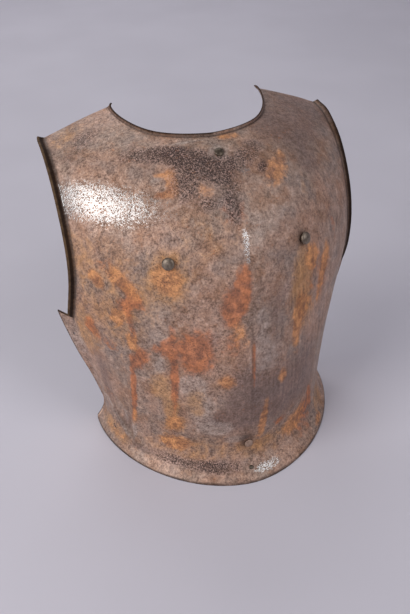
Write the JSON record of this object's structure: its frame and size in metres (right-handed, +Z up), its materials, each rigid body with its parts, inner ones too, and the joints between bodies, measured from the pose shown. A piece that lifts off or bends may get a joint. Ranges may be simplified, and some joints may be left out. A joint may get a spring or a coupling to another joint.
{
  "type": "steel breastplate",
  "caption": "Rusted steel breastplate with a soft medial ridge, turned-out neck and arm edges, flared waist flange, chest studs and rivets.",
  "frame": {"origin": "on the ground under the middle of the part: the waist rim's flat foot is the plane z = 0", "axes": "+Z up towards the neck, -Y the wearer's front, +X the wearer's left"},
  "size_m": [0.4196, 0.2922, 0.4336],
  "materials": {
    "rusted_steel": "worn bare steel, pitted, with brown and orange rust",
    "dark_stud": "dark tarnished metal, smooth from handling",
    "dark_rivet": "dark tarnished metal",
    "rusted_rivet": "worn steel with brown rust"
  },
  "bodies": {
    "root": {"plate": "rusted_steel", "neck_rivet": "dark_rivet", "chest_stud_right": "dark_stud", "chest_stud_left": "dark_stud", "waist_rivet": "rusted_rivet", "flange_rivet": "dark_rivet"}
  },
  "joints": []
}
